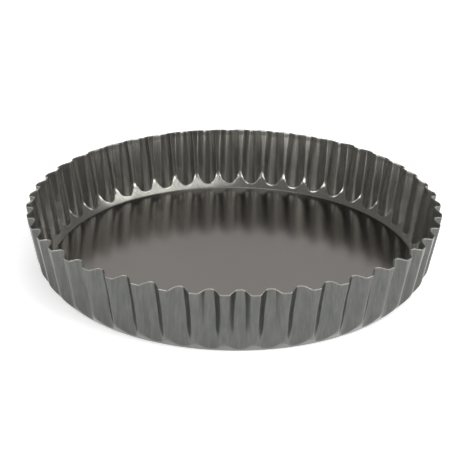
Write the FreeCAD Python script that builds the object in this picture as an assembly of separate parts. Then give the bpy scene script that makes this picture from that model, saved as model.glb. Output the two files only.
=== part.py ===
import FreeCAD, Part
import os
from math import cos, hypot, pi, radians, sin, tan

# Loose-base fluted tart pan, 25 cm across the rim, in millimetres.
# Origin: centre of the foot, on the surface the pan stands on. +Z points up.
# Two pieces: a pressed fluted ring with an in-turned ledge, and a flat loose
# base that rests on the ledge and lifts straight up and out.

# ---- driving dimensions -------------------------------------------------
SHEET = 0.5               # sheet thickness of the ring
BASE_SHEET = 0.5          # sheet thickness of the loose base

FLUTES = 48               # equal flutes round the wall, one points along +X
RIM_RADIUS = 125.0        # outside, over the outward flutes at the cut edge
RIM_HEIGHT = 39.6         # outer corners of the cut edge
RIM_RISE = 0.31           # the cut edge climbs this much per mm inwards
WALL_LEAN = radians(9.65)  # outward lean of the wall

FLUTE_DEPTH_RIM = 4.3     # radial depth of the flutes at the rim
FLUTE_DEPTH_FOOT = 3.4    # and where they run out over the bevel
FLAT_OUT = 3.6            # width of an outward flat at the rim, corner to corner
FLAT_IN = 5.0             # width of an inward crest at the rim
ROUND_OUT = 1.7           # outside radius of the outward corners
ROUND_IN = 3.2            # outside radius of the inward corners

BASE_RADIUS = 111.9       # the loose base
LEDGE_FLAT_RADIUS = 112.2  # the ledge is flat out to here
LEDGE_HOLE_RADIUS = 106.5  # round opening inside the ledge
FOOT_CORNER = 2.0         # outside radius between ledge and bevel
BEVEL_ANGLE = radians(49.4)  # slope of the bevel, from horizontal
KNEE_RADIUS = 10.0        # outside radius between bevel and wall

# ---- construction allowances (not part of the finished shape) -----------
CLEAR = 0.25              # the turned knee stands this far outside the flutes
BELOW = -2.0              # the fluted lofts start below the foot
ABOVE = 46.0              # and end above the rim
PITCH = 2 * pi / FLUTES


def turn(point, angle):
    """A point of the XY plane, turned about Z."""
    x, y = point
    return (x * cos(angle) - y * sin(angle), x * sin(angle) + y * cos(angle))


def meet(p, u, q, v):
    """Where the line through p along u meets the line through q along v."""
    cross = u[0] * v[1] - u[1] * v[0]
    t = ((q[0] - p[0]) * v[1] - (q[1] - p[1]) * v[0]) / cross
    return (p[0] + t * u[0], p[1] + t * u[1])


def rounded(corners, radii, place, closed=True):
    """Edges through the corners, each corner rounded by an arc."""
    count = len(corners)
    cuts = []
    for i, (here, radius) in enumerate(zip(corners, radii)):
        before = corners[i - 1]
        after = corners[(i + 1) % count]
        if radius == 0:
            cuts.append((here, here, here))
            continue
        a = (before[0] - here[0], before[1] - here[1])
        b = (after[0] - here[0], after[1] - here[1])
        a = (a[0] / hypot(*a), a[1] / hypot(*a))
        b = (b[0] / hypot(*b), b[1] / hypot(*b))
        mid = (a[0] + b[0], a[1] + b[1])
        half_cos = hypot(*mid) / 2          # cosine of half the inner angle
        half_sin = (1 - half_cos ** 2) ** 0.5
        reach = radius * half_cos / half_sin
        near = radius / half_sin - radius
        mid = (mid[0] / hypot(*mid), mid[1] / hypot(*mid))
        cuts.append(((here[0] + reach * a[0], here[1] + reach * a[1]),
                     (here[0] + near * mid[0], here[1] + near * mid[1]),
                     (here[0] + reach * b[0], here[1] + reach * b[1])))
    edges = []
    for i, (start, middle, end) in enumerate(cuts):
        if start != end:
            edges.append(Part.Arc(place(start), place(middle), place(end)).toShape())
        following = cuts[(i + 1) % count][0]
        if closed or i + 1 < count:
            edges.append(Part.LineSegment(place(end), place(following)).toShape())
    return edges


def flute_section(z, inset):
    """Closed wire of the fluted wall at height z, a distance inset inside its outer face."""
    radius = RIM_RADIUS - (RIM_HEIGHT - z) * tan(WALL_LEAN)
    depth = FLUTE_DEPTH_FOOT + (FLUTE_DEPTH_RIM - FLUTE_DEPTH_FOOT) * z / RIM_HEIGHT
    scale = radius / RIM_RADIUS
    # One flank, between the outward flat on +X and the crest half a pitch on.
    outer = (radius, FLAT_OUT / 2 * scale)
    inner = turn((radius - depth, -FLAT_IN / 2 * scale), PITCH / 2)
    flank = (inner[0] - outer[0], inner[1] - outer[1])
    length = hypot(*flank)
    shift = (-flank[1] / length * inset, flank[0] / length * inset)
    on_flank = (outer[0] + shift[0], outer[1] + shift[1])
    crest_line = turn((radius - depth - inset, 0), PITCH / 2)
    outer = meet((radius - inset, 0), (0, 1), on_flank, flank)
    inner = meet(crest_line, turn((0, 1), PITCH / 2), on_flank, flank)
    flute = [turn((inner[0], -inner[1]), 0), (outer[0], -outer[1]), outer, inner]
    rounds = [ROUND_IN + inset, ROUND_OUT - inset, ROUND_OUT - inset, ROUND_IN + inset]
    corners = [turn(point, k * PITCH) for k in range(FLUTES) for point in flute]
    edges = rounded(corners, rounds * FLUTES, lambda p: FreeCAD.Vector(p[0], p[1], z))
    return Part.Wire(edges)


def fluted_core(inset):
    """Solid bounded by the fluted wall alone, longer than the pan at both ends."""
    side = inset / cos(WALL_LEAN)
    sections = [flute_section(BELOW, side), flute_section(ABOVE, side)]
    return Part.makeLoft(sections, True, True)


def turned_core(inset, top):
    """Solid of revolution with the pan's foot, bevel and knee, a distance inset inside them.

    top lists the outline's points above the knee, from the outside in."""
    corner = LEDGE_FLAT_RADIUS + FOOT_CORNER * tan(BEVEL_ANGLE / 2)
    wall_foot = RIM_RADIUS + CLEAR - RIM_HEIGHT * tan(WALL_LEAN)
    wall = (tan(WALL_LEAN), 1)
    bevel = (1 / tan(BEVEL_ANGLE), 1)
    corner_in = corner + inset / tan(BEVEL_ANGLE) - inset / sin(BEVEL_ANGLE)
    wall_in = (wall_foot - inset / cos(WALL_LEAN), 0)
    knee = meet((corner_in, inset), bevel, wall_in, wall)
    points = [(0, inset), (corner_in, inset), knee] + top(wall_in, wall)
    radii = [0, FOOT_CORNER - inset, KNEE_RADIUS - inset] + [0] * (len(points) - 3)
    edges = rounded(points, radii, lambda p: FreeCAD.Vector(p[0], 0, p[1]))
    face = Part.Face(Part.Wire(edges))
    return face.revolve(FreeCAD.Vector(0, 0, 0), FreeCAD.Vector(0, 0, 1), 360)


def trimmed_top(wall_point, wall):
    """The cut edge lies on a cone that climbs inwards, past the crests of the flutes."""
    climb = FLUTE_DEPTH_RIM + 3
    inner = (RIM_RADIUS - climb, RIM_HEIGHT + climb * RIM_RISE)
    return [meet(wall_point, wall, inner, (1, -RIM_RISE)), inner, (0, inner[1])]


def open_top(wall_point, wall):
    """The hollow runs on past the rim."""
    return [meet(wall_point, wall, (0, ABOVE - 1), (1, 0)), (0, ABOVE - 1)]


def make_fluted_ring():
    body = fluted_core(0).common(turned_core(0, trimmed_top))
    hollow = fluted_core(SHEET).common(turned_core(SHEET, open_top))
    hole = Part.makeCylinder(LEDGE_HOLE_RADIUS, 4 * SHEET, FreeCAD.Vector(0, 0, -SHEET))
    return body.cut(hollow).cut(hole)


def make_loose_base():
    return Part.makeCylinder(BASE_RADIUS, BASE_SHEET, FreeCAD.Vector(0, 0, SHEET))


os.makedirs("parts", exist_ok=True)
NODES = {"fluted_ring": make_fluted_ring, "loose_base": make_loose_base}
for name, make in NODES.items():
    shape = make()
    box = shape.optimalBoundingBox()
    print(name, "valid", shape.isValid(), "solids", len(shape.Solids),
          "faces", len(shape.Faces), "volume", round(shape.Volume, 1),
          "x", round(box.XMin, 3), round(box.XMax, 3),
          "y", round(box.YMin, 3), round(box.YMax, 3),
          "z", round(box.ZMin, 3), round(box.ZMax, 3))
    shape.exportStep("parts/" + name + ".step")
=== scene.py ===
import math

import bpy
import numpy as np
from mathutils import Matrix, Vector


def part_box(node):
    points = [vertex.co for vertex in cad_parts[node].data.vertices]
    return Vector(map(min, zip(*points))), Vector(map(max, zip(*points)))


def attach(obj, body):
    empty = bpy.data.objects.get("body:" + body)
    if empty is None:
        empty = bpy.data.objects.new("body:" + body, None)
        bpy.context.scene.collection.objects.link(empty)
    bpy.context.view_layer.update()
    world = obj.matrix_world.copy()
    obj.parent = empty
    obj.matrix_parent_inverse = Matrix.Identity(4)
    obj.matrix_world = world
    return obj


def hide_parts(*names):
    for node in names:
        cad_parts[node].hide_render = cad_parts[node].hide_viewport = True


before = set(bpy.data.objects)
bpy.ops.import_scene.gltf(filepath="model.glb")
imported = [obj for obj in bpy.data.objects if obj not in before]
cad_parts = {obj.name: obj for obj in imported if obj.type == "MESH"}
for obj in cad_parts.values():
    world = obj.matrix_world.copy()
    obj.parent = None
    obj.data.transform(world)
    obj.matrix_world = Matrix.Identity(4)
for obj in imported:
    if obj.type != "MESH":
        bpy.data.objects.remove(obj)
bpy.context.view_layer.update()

# The looks of a loose-base fluted tart pan. Everything is in metres, in the CAD frame.
MM = 0.001
rng = np.random.default_rng(7)           # seeded: every run draws the same pan

# ---- sizes, from the frame where it holds them --------------------------
ring_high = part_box("fluted_ring")[1]     # each box is its lowest and highest corner
base_low, base_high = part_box("loose_base")
RIM_RADIUS = ring_high.x
RIM_TOP = ring_high.z
BASE_RADIUS = base_high.x
SHEET = base_low.z                       # the base lies on a ledge one sheet thick

FLUTES = 48
FLUTE_DEPTH_RIM = 4.3 * MM
FLUTE_DEPTH_FOOT = 3.4 * MM
# A wave is the width of its outward flat, of its inward crest, and the rounding beside each.
FOOT_WAVE = (1.4 * MM, 6.6 * MM, 0.7 * MM, 7.3 * MM)
WALL_WAVE = (3.0 * MM, 5.0 * MM, 2.5 * MM, 3.8 * MM)
RIM_WAVE = (4.7 * MM, 3.6 * MM, 1.3 * MM, 4.0 * MM)
WALL_FROM = 16.0 * MM                    # from here up, the foot's wave has become the wall's
WALL_FROM_RADIUS = 60.0 * MM             # rounding of the wall where the two meet
RIM_RISE = 0.31                          # the cut edge climbs this much per unit inwards
RIM_POINT = RIM_TOP - RIM_RISE * FLUTE_DEPTH_RIM      # height of the outward flutes at the rim
WALL_LEAN = math.radians(9.65)
LEDGE_HOLE = 106.5 * MM
BASE_PLAY = 0.3 * MM                     # the ledge is flat this far beyond the base
LEDGE_FLAT = BASE_RADIUS + BASE_PLAY
FOOT_CORNER = 2.0 * MM                   # rounding between ledge and bevel
BEVEL_ANGLE = math.radians(49.4)         # from horizontal
KNEE_VALLEY = 12.0 * MM                  # rounding between bevel and wall: in an outward flute,
KNEE_FLANK = 2.2 * MM                    # on the flank beside it
KNEE_CREST = 3.0 * MM                    # and under an inward crest
KNEE_TIGHTENS = 2.5                      # the crest's rounding is reached at 1 / this of the depth
LIP = 3.4 * MM                           # the last stretch below the rim
LIP_ANGLE = math.radians(-2.5)           # added to the wall's lean: the lip is more upright
LIP_RADIUS = 14.0 * MM                   # rounding where it begins
SQUARING = 14.0 * MM                     # over this stretch the wave squares up towards the rim
LEAST_REACH = 0.3 * MM                   # every rounding reaches at least this far from its corner
RIM_ROUND = 0.16 * MM                    # how far the cut edge is broken at the rim
HOLE_ROUND = 0.12 * MM                   # and round the opening in the ledge
BASE_ROUND = 0.12 * MM                   # and on the base
EDGE_POWER = 0.6                         # 1 is a half circle, and less is squarer
BASE_SIDES = 288                         # facets round the base
PITCH = 2 * math.pi / FLUTES

# ---- unevenness of the pressed sheet ------------------------------------
FLUTE_SPREAD = 0.10 * MM                 # spread of a flute's radius and height
FLUTE_SWING = 0.004                      # spread of its place, in pitches
OVAL, OVAL_PHASE = 0.22 * MM, 0.7        # the rim is a little oval
LOBES, LOBES_PHASE = 0.12 * MM, 2.0      # and a little three-sided


# ---- outlines -------------------------------------------------------------
def rounded_path(corners, radii, arc_steps, run_steps, least=0.0):
    """Points along a polyline whose inner corners are rounded.

    arc_steps and run_steps are how many pieces each corner and each straight run gets, so the
    path always has the same number of points. A rounding reaches at least as far from its corner
    as least, even where the corner hardly turns."""
    corners = [np.array(c, float) for c in corners]
    points = [corners[0]]
    start = corners[0]
    for i, radius in enumerate(radii):
        before, here, after = corners[i:i + 3]
        back = (before - here) / np.linalg.norm(before - here)
        on = (after - here) / np.linalg.norm(after - here)
        half_cos = np.linalg.norm(back + on) / 2
        reach = max(radius * half_cos / math.sqrt(1 - half_cos ** 2), least)
        enter, leave = here + reach * back, here + reach * on
        runs, arcs = run_steps[i], arc_steps[i]
        points += [start + (enter - start) * k / runs for k in range(1, runs + 1)]
        for t in np.arange(1, arcs + 1) / arcs:
            points.append((1 - t) ** 2 * enter + 2 * t * (1 - t) * here + t ** 2 * leave)
        start = leave
    runs = run_steps[-1]
    points += [start + (corners[-1] - start) * k / runs for k in range(1, runs + 1)]
    return np.array(points)


def flute(flat_out, flat_in, round_out, round_in):
    """Place along one flute (0 its middle, 2 the next one's) and share of the full depth."""
    half_pitch = math.pi * RIM_RADIUS / FLUTES
    corners = [(0, 0), (flat_out / 2, 0), (half_pitch - flat_in / 2, FLUTE_DEPTH_RIM),
               (half_pitch, FLUTE_DEPTH_RIM)]
    path = rounded_path(corners, [round_out, round_in], arc_steps=[6, 7], run_steps=[1, 3, 1])
    place, share = path[:, 0] / half_pitch, path[:, 1] / FLUTE_DEPTH_RIM
    return (np.concatenate([place, 2 - place[-2:0:-1]]),
            np.concatenate([share, share[-2:0:-1]]))


def columns():
    """Each column round the ring: angle and depth share at foot, wall and rim, and unevenness."""
    waves = [flute(*wave) for wave in (FOOT_WAVE, WALL_WAVE, RIM_WAVE)]
    valley_r, crest_r = rng.normal(0, FLUTE_SPREAD, (2, FLUTES))
    valley_z, crest_z = rng.normal(0, FLUTE_SPREAD, (2, FLUTES))
    swing = rng.normal(0, FLUTE_SWING, FLUTES)
    flute_no = np.repeat(np.arange(FLUTES), len(waves[0][0]))
    place = np.tile(waves[1][0], FLUTES)
    past_crest = place > 1
    valley = (flute_no + past_crest) % FLUTES
    lean = swing[valley] * (1 - np.abs(place - 2 * past_crest))
    angles = [(flute_no + np.tile(wave[0], FLUTES) / 2 + lean) * PITCH for wave in waves]
    shares = [np.tile(wave[1], FLUTES) for wave in waves]
    shift_r = (1 - shares[1]) * valley_r[valley] + shares[1] * crest_r[flute_no]
    shift_z = (1 - shares[1]) * valley_z[valley] + shares[1] * crest_z[flute_no]
    shift_r += (OVAL * np.cos(2 * angles[1] + OVAL_PHASE)
                + LOBES * np.cos(3 * angles[1] + LOBES_PHASE))
    return angles, shares, shift_r, shift_z


def outer_outline(foot_share, share, shift_r, shift_z):
    """Radius and height along one column of the ring's outer face, from the ledge to the rim."""
    # The wall has two straight stretches, which meet at WALL_FROM. foot_r and wall_r are their
    # radii carried down to z = 0, and rim_r is the upper one's at the rim. Both lie a little
    # further out, because the more upright lip then brings the rim back to its radius.
    lip_shift = LIP * math.tan(LIP_ANGLE)
    foot_r = RIM_RADIUS - RIM_POINT * math.tan(WALL_LEAN) - foot_share * FLUTE_DEPTH_FOOT
    foot_r -= lip_shift
    wall_r = foot_r + (foot_share - share) * FLUTE_DEPTH_FOOT
    rim_r = RIM_RADIUS - share * FLUTE_DEPTH_RIM + shift_r - lip_shift
    slope = (rim_r - wall_r) / RIM_POINT
    from_r = wall_r + slope * WALL_FROM
    low_slope = (from_r - foot_r) / WALL_FROM
    # The bevel climbs from the foot's corner to where it meets the lower stretch, at the knee.
    corner = LEDGE_FLAT + FOOT_CORNER * math.tan(BEVEL_ANGLE / 2)
    bevel = 1 / math.tan(BEVEL_ANGLE)
    knee_z = (foot_r - corner) / (bevel - low_slope)
    near_flank = math.sin(math.pi * foot_share) ** 2
    knee_round = KNEE_VALLEY + (KNEE_CREST - KNEE_VALLEY) * min(1.0, foot_share * KNEE_TIGHTENS)
    knee_round += (KNEE_FLANK - knee_round) * near_flank
    # The lip ends on the cone of the cut edge, give or take the flute's unevenness.
    top_z = RIM_POINT + share * FLUTE_DEPTH_RIM * RIM_RISE + shift_z
    lip_z = top_z - LIP
    lip_r = wall_r + slope * lip_z
    top_r = lip_r + LIP * (slope + math.tan(LIP_ANGLE))
    corners = [(LEDGE_HOLE, 0), (corner, 0), (corner + bevel * knee_z, knee_z),
               (from_r, WALL_FROM), (lip_r, lip_z), (top_r, top_z)]
    radii = [FOOT_CORNER, knee_round, WALL_FROM_RADIUS, LIP_RADIUS]
    return rounded_path(corners, radii, arc_steps=[4, 6, 2, 2], run_steps=[1, 2, 2, 2, 3],
                        least=LEAST_REACH)


# ---- meshes -----------------------------------------------------------------
def unit(v):
    return v / np.linalg.norm(v, axis=-1, keepdims=True)


def smooth_object(name, points, faces):
    """A smooth-shaded mesh, as an object in the scene."""
    mesh = bpy.data.meshes.new(name)
    mesh.from_pydata(points, [], faces)
    mesh.shade_smooth()
    mesh.update()
    piece = bpy.data.objects.new(name, mesh)
    bpy.context.scene.collection.objects.link(piece)
    return piece


def grid_object(name, grid):
    """Mesh from rings of points: grid[row][column], closed both ways."""
    rows, cols = grid.shape[:2]
    index = np.arange(rows * cols).reshape(rows, cols)
    up, side = np.roll(index, -1, 0), np.roll(index, -1, 1)
    both = np.roll(up, -1, 1)
    faces = np.stack([index, side, both, up], -1).reshape(-1, 4)
    return smooth_object(name, grid.reshape(-1, 3).tolist(), faces.tolist())


def edge_round(outer, inner, along, reach, steps):
    """Rows that close the sheet's cut edge between two rows, softly rounded."""
    middle, half = (outer + inner) / 2, (outer - inner) / 2
    rows = []
    for k in range(1, steps):
        c = math.cos(math.pi * k / steps)
        s = math.sin(math.pi * k / steps)
        rows.append(middle + half * math.copysign(abs(c) ** EDGE_POWER, c)
                    + along * reach * s ** EDGE_POWER)
    return rows


def make_ring():
    """The pressed sheet: its outer face, the same face one sheet further in, and both edges."""
    angles, shares, shift_r, shift_z = columns()
    profile = np.array([outer_outline(*c) for c in zip(shares[0], shares[1], shift_r, shift_z)])
    profile = profile.transpose(1, 0, 2)                  # rows, columns, (r, z)
    r, z = profile[..., 0], profile[..., 1]
    # The wall's wave turns into the rim's towards the top, and into the foot's towards the bottom.
    near_rim = np.clip(1 - (z[-1] - z) / SQUARING, 0, 1)
    near_foot = np.clip(1 - z / WALL_FROM, 0, 1)
    deeper = near_rim * (shares[2] - shares[1]) * FLUTE_DEPTH_RIM
    r, z = r - deeper, z + deeper * RIM_RISE
    angle = angles[1] + near_rim * (angles[2] - angles[1]) + near_foot * (angles[0] - angles[1])
    outer = np.stack([r * np.cos(angle), r * np.sin(angle), z], -1)
    along_row = np.roll(outer, -1, 1) - np.roll(outer, 1, 1)
    up_column = np.gradient(outer, axis=0)
    normal = unit(np.cross(along_row, up_column))
    inner = outer - normal * SHEET
    rim_up, hole_in = unit(up_column[-1]), unit(-up_column[0])
    rim = edge_round(outer[-1], inner[-1], rim_up, RIM_ROUND, 5)
    hole = edge_round(inner[0], outer[0], hole_in, HOLE_ROUND, 3)
    grid = np.array(list(outer) + rim + list(inner[::-1]) + hole)
    ring = grid_object("ring_sheet", grid)
    rows, cols = grid.shape[:2]
    is_rim = np.zeros((rows, cols))
    is_rim[len(outer) - 1:len(outer) + len(rim) + 1] = 1.0
    inside = np.zeros((rows, cols))
    inside[len(outer) + len(rim):] = 1.0
    for label, values in (("rim", is_rim), ("inside", inside)):
        layer = ring.data.attributes.new(label, "FLOAT", "POINT")
        layer.data.foreach_set("value", values.ravel())
    return ring


def make_base():
    """The disc, with its sheared edge just broken."""
    low, high = base_low.z, base_high.z
    outline = rounded_path([(0.0, low), (BASE_RADIUS, low), (BASE_RADIUS, high), (0.0, high)],
                           [BASE_ROUND, BASE_ROUND], arc_steps=[3, 3], run_steps=[6, 1, 6])[1:-1]
    turn = np.arange(BASE_SIDES) * 2 * math.pi / BASE_SIDES
    grid = np.stack([outline[:, :1] * np.cos(turn), outline[:, :1] * np.sin(turn),
                     np.repeat(outline[:, 1:], BASE_SIDES, 1)], -1)
    points = grid.reshape(-1, 3).tolist() + [(0, 0, low), (0, 0, high)]
    below, above = len(points) - 2, len(points) - 1       # the middles of the two faces
    last = (len(outline) - 1) * BASE_SIDES                # first point of the last row
    faces = []
    for row in range(0, last, BASE_SIDES):
        for j in range(BASE_SIDES):
            k = (j + 1) % BASE_SIDES
            faces.append((row + j, row + k, row + BASE_SIDES + k, row + BASE_SIDES + j))
    for j in range(BASE_SIDES):
        k = (j + 1) % BASE_SIDES
        faces.append((below, k, j))
        faces.append((above, last + j, last + k))
    return smooth_object("base_disc", points, faces)


# ---- materials --------------------------------------------------------------
class Nodes:
    """Short calls for building one node material."""

    def __init__(self, name):
        self.material = bpy.data.materials.new(name)
        self.material.use_nodes = True
        self.tree = self.material.node_tree
        self.tree.nodes.clear()
        self.shader = self.add("ShaderNodeBsdfPrincipled")
        out = self.add("ShaderNodeOutputMaterial")
        self.link(self.shader.outputs[0], out.inputs["Surface"])
        self.place = self.add("ShaderNodeTexCoord").outputs["Object"]

    def add(self, kind, **settings):
        node = self.tree.nodes.new(kind)
        for key, value in settings.items():
            setattr(node, key, value)
        return node

    def link(self, a, b):
        self.tree.links.new(a, b)

    def noise(self, scale, detail=2.0, rough=0.5, stretch=(1, 1, 1)):
        node = self.add("ShaderNodeTexNoise")
        node.inputs["Scale"].default_value = scale
        node.inputs["Detail"].default_value = detail
        node.inputs["Roughness"].default_value = rough
        if stretch == (1, 1, 1):
            self.link(self.place, node.inputs["Vector"])
        else:
            mapping = self.add("ShaderNodeMapping")
            mapping.inputs["Scale"].default_value = stretch
            self.link(self.place, mapping.inputs["Vector"])
            self.link(mapping.outputs[0], node.inputs["Vector"])
        return node.outputs["Fac"]

    def attribute(self, name):
        return self.add("ShaderNodeAttribute", attribute_name=name).outputs["Fac"]

    def spread(self, value, low, high, to_low=0.0, to_high=1.0):
        node = self.add("ShaderNodeMapRange", clamp=True)
        for key, number in zip(("From Min", "From Max", "To Min", "To Max"),
                               (low, high, to_low, to_high)):
            node.inputs[key].default_value = number
        self.link(value, node.inputs["Value"])
        return node.outputs[0]

    def sum(self, *values):
        total = values[0]
        for value in values[1:]:
            node = self.add("ShaderNodeMath", operation="ADD")
            self.link(total, node.inputs[0])
            self.link(value, node.inputs[1])
            total = node.outputs[0]
        return total

    def times(self, value, factor):
        node = self.add("ShaderNodeMath", operation="MULTIPLY")
        self.link(value, node.inputs[0])
        node.inputs[1].default_value = factor
        return node.outputs[0]

    def mix(self, amount, a, b):
        """A colour between a and b. Each is a colour or another node's output."""
        node = self.add("ShaderNodeMix", data_type="RGBA")
        self.link(amount, node.inputs[0])
        for socket, value in ((node.inputs[6], a), (node.inputs[7], b)):
            if isinstance(value, tuple):
                socket.default_value = (*value, 1.0)
            else:
                self.link(value, socket)
        return node.outputs[2]

    def bump(self, height, depth):
        node = self.add("ShaderNodeBump")
        node.inputs["Strength"].default_value = 1.0
        node.inputs["Distance"].default_value = depth
        self.link(height, node.inputs["Height"])
        return node.outputs[0]

    def constant(self, **values):
        for key, value in values.items():
            self.shader.inputs[key.replace("_", " ")].default_value = value


def ring_coating():
    """Dark metallic coating on pressed steel: fine fleck, drawing streaks, bare cut edge.

    The inside is painted lighter and browner than the outside: painted light on the one coating,
    standing in for how the inside is lit."""
    n = Nodes("ring_coating")
    inside = n.attribute("inside")
    fine = n.noise(1900, 2.0, 0.6)
    cloud = n.noise(35, 3.0)
    # painted light: the inside gets a lighter, browner copy of the outside's colours, standing in
    # for how the inside is lit
    dark = n.mix(inside, (0.081, 0.083, 0.078), (0.184, 0.180, 0.164))
    light = n.mix(inside, (0.143, 0.146, 0.138), (0.274, 0.268, 0.244))
    drawn = n.noise(620, 3.0, 0.6, (1, 1, 0.04))
    tone = n.sum(n.spread(fine, 0.3, 0.7, 0.0, 0.3), n.spread(cloud, 0.3, 0.7, 0.0, 0.2),
                 n.spread(drawn, 0.34, 0.66, 0.0, 0.5))
    colour = n.mix(tone, dark, light)
    rim = n.spread(n.attribute("rim"), 0.4, 0.9)
    colour = n.mix(n.times(rim, 0.8), colour, (0.30, 0.29, 0.27))
    n.link(colour, n.shader.inputs["Base Color"])
    n.link(n.spread(fine, 0.3, 0.7, 0.21, 0.26), n.shader.inputs["Roughness"])
    height = n.sum(n.times(n.noise(420, 2.0), 0.4), drawn)
    n.link(n.bump(height, 0.006 * MM), n.shader.inputs["Normal"])
    n.constant(Metallic=0.92, IOR=1.5)
    return n.material


def base_coating():
    """The coating of the flat disc: smoother, with no streaks."""
    n = Nodes("base_coating")
    fine = n.noise(1500, 3.0, 0.6)
    cloud = n.noise(18, 3.0)
    tone = n.sum(n.spread(fine, 0.35, 0.65, 0.0, 0.5), n.spread(cloud, 0.3, 0.7, 0.0, 0.5))
    colour = n.mix(tone, (0.112, 0.1015, 0.093), (0.124, 0.113, 0.104))
    n.link(colour, n.shader.inputs["Base Color"])
    n.link(n.spread(cloud, 0.3, 0.7, 0.17, 0.20), n.shader.inputs["Roughness"])
    n.link(n.bump(n.noise(300, 2.0), 0.004 * MM), n.shader.inputs["Normal"])
    n.constant(Metallic=1.0)
    return n.material


def floor_paint():
    """White, with a little light of its own, which keeps the pan's shadow faint."""
    n = Nodes("floor_paint")
    tone = n.spread(n.noise(6, 2.0), 0.3, 0.7)
    n.link(n.mix(tone, (0.93, 0.93, 0.93), (0.95, 0.95, 0.95)), n.shader.inputs["Base Color"])
    n.constant(Roughness=0.9, Emission_Color=(1, 1, 1, 1), Emission_Strength=0.34)
    return n.material


# ---- stage ------------------------------------------------------------------
PANEL_DISTANCE = 1.6                     # from the origin


def make_floor():
    reach = 6.0                          # half the floor's side
    corners = [(-reach, -reach, 0), (reach, -reach, 0), (reach, reach, 0), (-reach, reach, 0)]
    mesh = bpy.data.meshes.new("floor")
    mesh.from_pydata(corners, [], [(0, 1, 2, 3)])
    floor = bpy.data.objects.new("floor", mesh)
    bpy.context.scene.collection.objects.link(floor)
    floor.data.materials.append(floor_paint())


def make_camera():
    """Above the front of the pan, looking a little below the middle of the rim.

    Angles are in radians. spin carries the whole camera round the pan."""
    distance = 724.75 * MM               # from the middle of the rim
    height_angle = 0.4061
    look_down = height_angle + 0.0280
    turn_left = -0.0007
    roll = -0.0106
    spin = math.radians(1.97)
    lens, sensor = 91.954506, 36.0       # in Blender's own millimetres
    place = Vector((0, -distance * math.cos(height_angle),
                    RIM_POINT + distance * math.sin(height_angle)))
    ahead = Vector((math.sin(turn_left) * math.cos(look_down),
                    math.cos(turn_left) * math.cos(look_down), -math.sin(look_down)))
    right = ahead.cross(Vector((0, 0, 1))).normalized()
    above = right.cross(ahead)
    tilted_right = math.cos(roll) * right - math.sin(roll) * above
    tilted_above = math.sin(roll) * right + math.cos(roll) * above
    turned = Matrix.Rotation(spin, 3, "Z")
    axes = [turned @ v for v in (tilted_right, tilted_above, -ahead)]
    pose = Matrix((axes[0], axes[1], axes[2])).transposed().to_4x4()
    pose.translation = turned @ place
    data = bpy.data.cameras.new("camera")
    data.sensor_width = sensor
    data.lens = lens
    data.clip_start = 0.01
    camera = bpy.data.objects.new("camera", data)
    camera.matrix_world = pose
    bpy.context.scene.collection.objects.link(camera)
    bpy.context.scene.camera = camera


def softbox(name, turn, height, width, tall, radiance):
    """A soft panel that faces the pan from PANEL_DISTANCE away.

    turn is in degrees from +X towards +Y, and height in degrees above the horizon. radiance
    sets how bright the panel is, whatever its size."""
    turn, height = math.radians(turn), math.radians(height)
    data = bpy.data.lights.new(name, "AREA")
    data.shape = "RECTANGLE"
    data.size, data.size_y = width, tall
    data.energy = radiance * math.pi * width * tall
    lamp = bpy.data.objects.new(name, data)
    lamp.location = PANEL_DISTANCE * Vector((math.cos(turn) * math.cos(height),
                                             math.sin(turn) * math.cos(height),
                                             math.sin(height)))
    lamp.rotation_euler = (-lamp.location).to_track_quat("-Z", "Y").to_euler()
    bpy.context.scene.collection.objects.link(lamp)


def make_light():
    world = bpy.data.worlds.new("studio")
    world.use_nodes = True
    background = world.node_tree.nodes["Background"]
    background.inputs["Color"].default_value = (1, 1, 1, 1)
    background.inputs["Strength"].default_value = 0.3
    bpy.context.scene.world = world
    softbox("left", 230, 26, 1.0, 0.45, 8.3)
    softbox("left_low", 233, 8, 0.7, 0.4, 7.0)
    softbox("front_low", 262, 8, 0.7, 0.4, 3.2)
    softbox("right_low", 345, 8, 0.6, 0.4, 4.3)
    softbox("front", 280, 40, 0.56, 0.45, 2.7)
    softbox("right_front", 330, 24, 1.12, 0.45, 7.4)
    softbox("right_front_high", 320, 40, 0.56, 0.45, 3.1)
    softbox("right", 0, 40, 0.56, 0.45, 3.5)
    softbox("high_front", 300, 56, 0.56, 0.45, 2.6)
    softbox("high_right", 340, 56, 0.56, 0.45, 2.6)
    softbox("back", 90, 34, 0.75, 0.62, 1.1)
    softbox("top", 90, 76, 0.75, 0.62, 2.2)
    bpy.context.scene.view_settings.view_transform = "Standard"


ring = make_ring()
ring.data.materials.append(ring_coating())
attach(ring, "ring")
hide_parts("fluted_ring")

base = make_base()
base.data.materials.append(base_coating())
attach(base, "base")
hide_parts("loose_base")

make_floor()
make_camera()
make_light()
